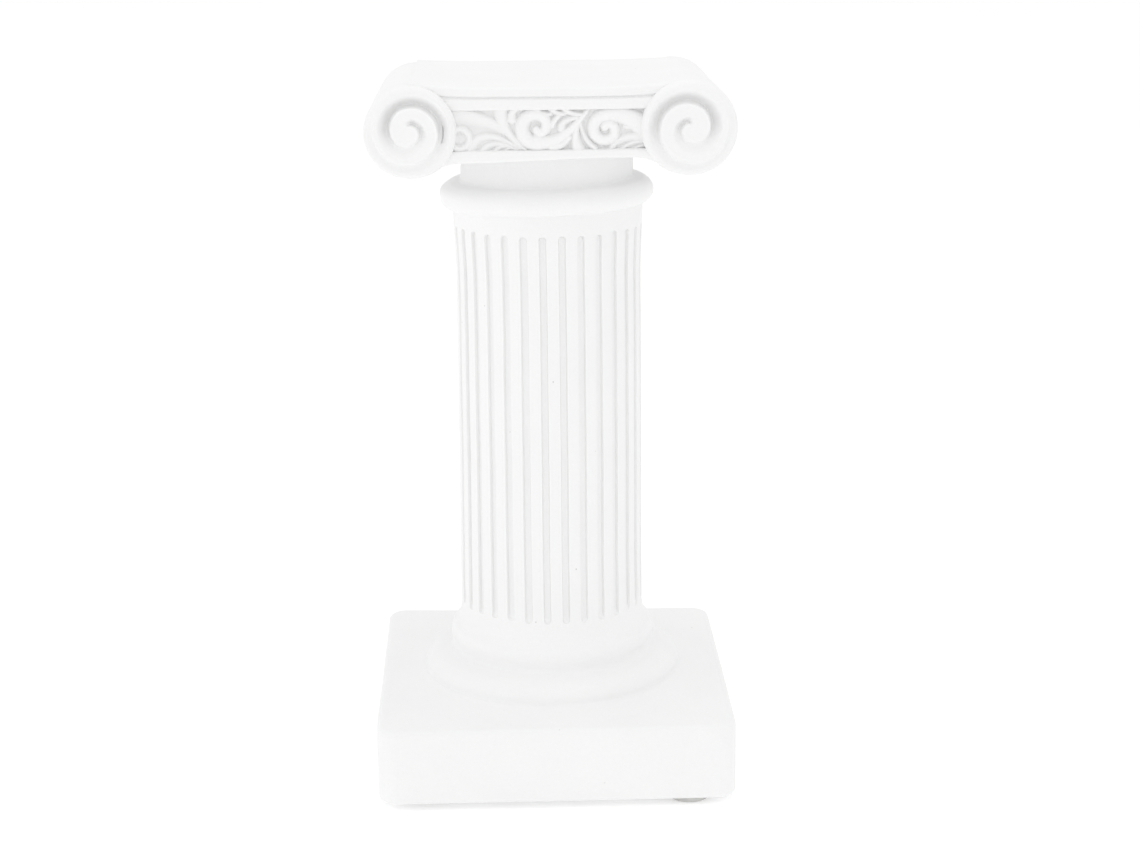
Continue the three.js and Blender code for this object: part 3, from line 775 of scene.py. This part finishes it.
def column(material):
    back_leaves = [LEAVES[i] for i in BACK_LEAVES]
    back_scrolls = [SCROLLS[i] for i in BACK_SCROLLS]
    back = frieze(back_leaves, back_scrolls, BACK_PITCH)
    bmesh.ops.rotate(back, cent=(0, 0, 0), matrix=Matrix.Rotation(math.pi, 3, "Z"), verts=back.verts)
    front = frieze(LEAVES, SCROLLS, FRIEZE_PITCH)
    shells = [plinth(), base_mouldings(), fluted_shaft(), neck(), roll(-1), roll(1), slab(), front, back]
    for bm in shells:
        for vert in bm.verts:
            vert.co = hand_cast(vert.co) + Vector((0, 0, PAD_THICK))
    piece_from(shells, "column_casting", "cast_resin", material, "column")


def pad(node, material):
    """A round stick-on pad with a soft rim, pressed against the plinth."""
    low, high = (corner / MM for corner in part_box(node))
    bm = bmesh.new()
    bmesh.ops.create_cone(bm, cap_ends=True, segments=64, radius1=1, radius2=1, depth=2)
    bmesh.ops.scale(bm, vec=(high - low) / 2, verts=bm.verts)
    bmesh.ops.translate(bm, vec=(low + high) / 2, verts=bm.verts)
    rounded(bm, [e for e in bm.edges if is_level(e)], PAD_RIM, PAD_RIM_STEPS)
    add_marks(bm)
    piece_from([bm], node + "_dot", "pad_rubber", material, node)


def feed(tree, value, socket):
    """Gives a socket a plain value, or links another node's output to it."""
    if isinstance(value, bpy.types.NodeSocket):
        tree.links.new(value, socket)
    else:
        socket.default_value = value


def reckoned(tree, operation, *values):
    """The result of a math node."""
    node = tree.nodes.new("ShaderNodeMath")
    node.operation = operation
    for value, socket in zip(values, node.inputs):
        feed(tree, value, socket)
    return node.outputs["Value"]


def ranged(tree, value, first, last, low, high, kind="LINEAR"):
    """A value moved from the range first to last into the range low to high."""
    node = tree.nodes.new("ShaderNodeMapRange")
    node.interpolation_type = kind
    feed(tree, value, node.inputs["Value"])
    feed(tree, first, node.inputs["From Min"])
    feed(tree, last, node.inputs["From Max"])
    feed(tree, low, node.inputs["To Min"])
    feed(tree, high, node.inputs["To Max"])
    return node.outputs["Result"]


def patches(tree, place, scale, detail):
    """Soft noise of one scale."""
    node = tree.nodes.new("ShaderNodeTexNoise")
    feed(tree, place, node.inputs["Vector"])
    feed(tree, scale, node.inputs["Scale"])
    feed(tree, detail, node.inputs["Detail"])
    return node.outputs["Fac"]


def mottle(tree, place, scale, low, high):
    """A soft patchy value between two numbers."""
    return ranged(tree, patches(tree, place, scale, PATCH_DETAIL), *PATCH_RANGE, low, high)


def mark(tree, name, place, low, high):
    """A piece's own painted shade or painted highlight value, broken up by soft patches."""
    value = tree.nodes.new("ShaderNodeAttribute")
    value.attribute_name = name
    patchy = mottle(tree, place, MARK_PATCHES, low, high)
    return reckoned(tree, "MULTIPLY", value.outputs["Fac"], patchy)


def mixed(tree, share, first, second):
    """A colour mixed by a varying share; the first end may be a colour or another node's output."""
    mix = tree.nodes.new("ShaderNodeMix")
    mix.data_type = "RGBA"
    feed(tree, share, mix.inputs["Factor"])
    feed(tree, (*first, 1) if isinstance(first, tuple) else first, mix.inputs["A"])
    feed(tree, (*second, 1), mix.inputs["B"])
    return mix.outputs["Result"]


def grain_group():
    """Fine cast grain and small air holes, for a bump height and a mask of the holes."""
    group = bpy.data.node_groups.new("cast_grain", "ShaderNodeTree")
    group.interface.new_socket("Vector", in_out="INPUT", socket_type="NodeSocketVector")
    for name in ("Grain Scale", "Hole Share"):
        group.interface.new_socket(name, in_out="INPUT", socket_type="NodeSocketFloat")
    for name in ("Height", "Holes"):
        group.interface.new_socket(name, in_out="OUTPUT", socket_type="NodeSocketFloat")
    given = group.nodes.new("NodeGroupInput").outputs
    results = group.nodes.new("NodeGroupOutput").inputs

    cells = group.nodes.new("ShaderNodeTexVoronoi")
    feed(group, given["Vector"], cells.inputs["Vector"])
    feed(group, HOLE_CELLS, cells.inputs["Scale"])
    chance = group.nodes.new("ShaderNodeSeparateColor")
    feed(group, cells.outputs["Color"], chance.inputs["Color"])
    chosen = reckoned(group, "LESS_THAN", chance.outputs["Red"], given["Hole Share"])
    size = ranged(group, chance.outputs["Green"], 0, 1, *HOLE_SIZES)
    hole = ranged(group, cells.outputs["Distance"], 0, size, 1, 0, "SMOOTHSTEP")
    holes = reckoned(group, "MULTIPLY", hole, chosen)
    grain = patches(group, given["Vector"], given["Grain Scale"], GRAIN_DETAIL)
    feed(group, reckoned(group, "MULTIPLY_ADD", holes, HOLE_HEIGHT, grain), results["Height"])
    feed(group, holes, results["Holes"])
    return group


def new_material(name):
    """A material with its node tree, its shader and places on the object."""
    material = bpy.data.materials.new(name)
    material.use_nodes = True
    tree = material.node_tree
    coords = tree.nodes.new("ShaderNodeTexCoord")
    return material, tree, tree.nodes["Principled BSDF"], coords.outputs["Object"]


def add_grain(tree, shader, place, group, scale, holes, strength, distance):
    """Places the shared grain in a material and returns its mask of air holes."""
    grain = tree.nodes.new("ShaderNodeGroup")
    grain.node_tree = group
    feed(tree, place, grain.inputs["Vector"])
    feed(tree, scale, grain.inputs["Grain Scale"])
    feed(tree, holes, grain.inputs["Hole Share"])
    bump = tree.nodes.new("ShaderNodeBump")
    feed(tree, strength, bump.inputs["Strength"])
    feed(tree, distance, bump.inputs["Distance"])
    feed(tree, grain.outputs["Height"], bump.inputs["Height"])
    feed(tree, bump.outputs["Normal"], shader.inputs["Normal"])
    return grain.outputs["Holes"]


def cast_resin(group):
    """Matt white cast resin: mottling, specks, painted highlights on edges, painted shade in the hollows,
    grain, and air holes with painted shade in them.
    """
    material, tree, shader, place = new_material("cast_resin")
    holes = add_grain(tree, shader, place, group, **RESIN_GRAIN)
    body = mixed(tree, mottle(tree, place, BODY_PATCHES, 0, 1), RESIN_DULL, RESIN_PALE)
    speckled = mixed(tree, mottle(tree, place, SPECK_PATCHES, 0, SPECK_SHARE), body, RESIN_SPECK)
    # Painted highlight on lit edges
    highlighted = mixed(tree, mark(tree, "painted_highlight", place, *HIGHLIGHT_SHARES), speckled, RESIN_PAINTED_HIGHLIGHT)
    # Painted shade in the hollows
    shaded = mixed(tree, mark(tree, "hollow", place, *SHADE_SHARES), highlighted, RESIN_PAINTED_SHADE)
    # Painted shade in the air holes
    feed(tree, mixed(tree, holes, shaded, RESIN_HOLE_SHADE), shader.inputs["Base Color"])
    feed(tree, mottle(tree, place, ROUGH_PATCHES, *RESIN_ROUGHNESS), shader.inputs["Roughness"])
    return material


def pad_rubber(group):
    """Pale grey soft rubber."""
    material, tree, shader, place = new_material("pad_rubber")
    add_grain(tree, shader, place, group, **RUBBER_GRAIN)
    body = mixed(tree, mottle(tree, place, RUBBER_PATCHES, 0, 1), RUBBER_DARK, RUBBER_PALE)
    feed(tree, body, shader.inputs["Base Color"])
    feed(tree, RUBBER_ROUGHNESS, shader.inputs["Roughness"])
    return material


def pale_floor():
    """Even pale floor with a faint glow, stronger in the square under the plinth."""
    material, tree, shader, place = new_material("pale_floor")
    parts = tree.nodes.new("ShaderNodeSeparateXYZ")
    feed(tree, place, parts.inputs["Vector"])
    across = reckoned(tree, "ABSOLUTE", parts.outputs["X"])
    along = reckoned(tree, "ABSOLUTE", parts.outputs["Y"])
    away = reckoned(tree, "MAXIMUM", across, along)
    glow = ranged(tree, away, *FLOOR_GLOW_EDGE, *FLOOR_GLOW, "SMOOTHSTEP")
    feed(tree, WHITE, shader.inputs["Emission Color"])
    feed(tree, glow, shader.inputs["Emission Strength"])
    body = mixed(tree, mottle(tree, place, FLOOR_PATCHES, 0, 1), FLOOR_DULL, FLOOR_PALE)
    feed(tree, body, shader.inputs["Base Color"])
    feed(tree, FLOOR_ROUGHNESS, shader.inputs["Roughness"])
    return material


def floor():
    bm = bmesh.new()
    bmesh.ops.create_grid(bm, x_segments=8, y_segments=8, size=FLOOR_HALF)
    mesh = bpy.data.meshes.new("floor")
    bm.to_mesh(mesh)
    bm.free()
    mesh.materials.append(pale_floor())
    ground = bpy.data.objects.new("floor", mesh)
    bpy.context.scene.collection.objects.link(ground)


def soft_light(name, place, size, watts):
    data = bpy.data.lights.new(name, "AREA")
    data.shape = "SQUARE"
    data.size = size
    data.energy = watts
    light = bpy.data.objects.new(name, data)
    light.visible_camera = False
    turn = (LIGHT_AIM - place).to_track_quat("-Z", "Y").to_matrix().to_4x4()
    light.matrix_world = Matrix.Translation(place) @ turn
    bpy.context.scene.collection.objects.link(light)


def studio():
    """Bright, even studio light from soft boxes at the left, at the front left and overhead."""
    for name, place, size, watts in SOFT_BOXES:
        soft_light(name, Vector(place), size, watts)
    world = bpy.data.worlds.new("studio")
    world.use_nodes = True
    sky = world.node_tree.nodes["Background"]
    sky.inputs["Color"].default_value = WHITE
    sky.inputs["Strength"].default_value = SKY_STRENGTH
    bpy.context.scene.world = world
    bpy.context.scene.view_settings.view_transform = "Standard"


def camera():
    """A camera at the photograph's viewing angle."""
    level = math.cos(CAMERA_ELEVATION)
    back = Vector((math.sin(CAMERA_AZIMUTH) * level, -math.cos(CAMERA_AZIMUTH) * level,
                   math.sin(CAMERA_ELEVATION)))
    data = bpy.data.cameras.new("camera")
    data.lens = CAMERA_LENS
    data.sensor_width = CAMERA_SENSOR
    view = bpy.data.objects.new("camera", data)
    place = Matrix.Translation(CAMERA_AIM + back * CAMERA_DISTANCE)
    turn = back.to_track_quat("Z", "Y").to_matrix().to_4x4()
    view.matrix_world = place @ turn @ Matrix.Rotation(-CAMERA_ROLL, 4, "Z")
    bpy.context.scene.collection.objects.link(view)
    bpy.context.scene.camera = view


# The same unevenness in every run
noise.seed_set(CASTING_SEED)
camera()
studio()
floor()
grain = grain_group()
column(cast_resin(grain))
rubber = pad_rubber(grain)
for pad_name in ("pad_front_left", "pad_front_right", "pad_back_left", "pad_back_right"):
    pad(pad_name, rubber)
